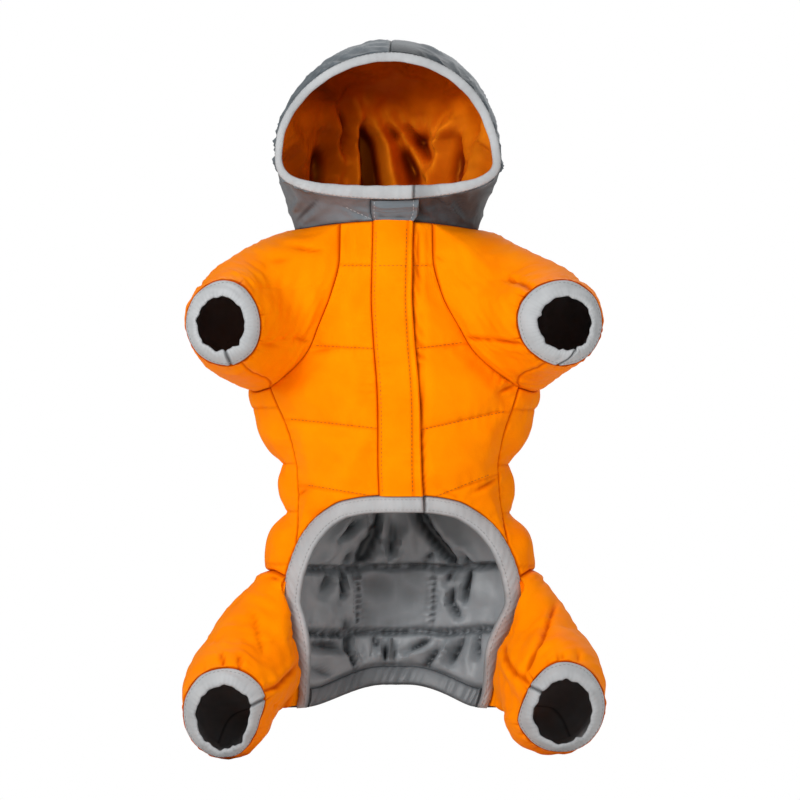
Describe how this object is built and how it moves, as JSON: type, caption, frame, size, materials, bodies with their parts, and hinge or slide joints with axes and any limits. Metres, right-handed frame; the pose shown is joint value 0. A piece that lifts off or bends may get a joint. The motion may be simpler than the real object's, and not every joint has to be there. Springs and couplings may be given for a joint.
{
  "type": "dog jumpsuit",
  "caption": "Quilted hooded dog jumpsuit, filled out and empty, with raglan sleeves, legs, bound cuffs, a belly placket and an open, bound rear belly.",
  "frame": {"origin": "middle of the trunk, on the plane between its two sides, where the wearer's body holds the garment", "axes": "+Z along the back towards the hood, -Y towards the belly and the viewer, +X to the right as seen from the belly side"},
  "size_m": [0.2712, 0.1738, 0.4605],
  "materials": {
    "orange_nylon": "quilted taffeta, semi-matte",
    "gray_nylon": "smooth taffeta with a soft sheen",
    "orange_satin": "satin lining, sheen",
    "dark_lining": "matte lining",
    "gray_tape": "woven elastic tape, matte"
  },
  "bodies": {
    "root": {"back": "orange_nylon", "back_hem": "gray_nylon", "back_lining": "gray_nylon", "belly_binding_left": "gray_tape", "belly_binding_right": "gray_tape", "front_left": "orange_nylon", "front_right": "orange_nylon", "hood_binding": "gray_tape", "hood_left": "gray_nylon", "hood_lining": "orange_satin", "hood_right": "gray_nylon", "leg_cuff_left": "gray_tape", "leg_cuff_right": "gray_tape", "leg_left": "orange_nylon", "leg_lining_left": "dark_lining", "leg_lining_right": "dark_lining", "leg_right": "orange_nylon", "placket": "orange_nylon", "placket_neck": "gray_nylon", "sleeve_cuff_left": "gray_tape", "sleeve_cuff_right": "gray_tape", "sleeve_left": "orange_nylon", "sleeve_lining_left": "dark_lining", "sleeve_lining_right": "dark_lining", "sleeve_right": "orange_nylon"}
  },
  "joints": []
}
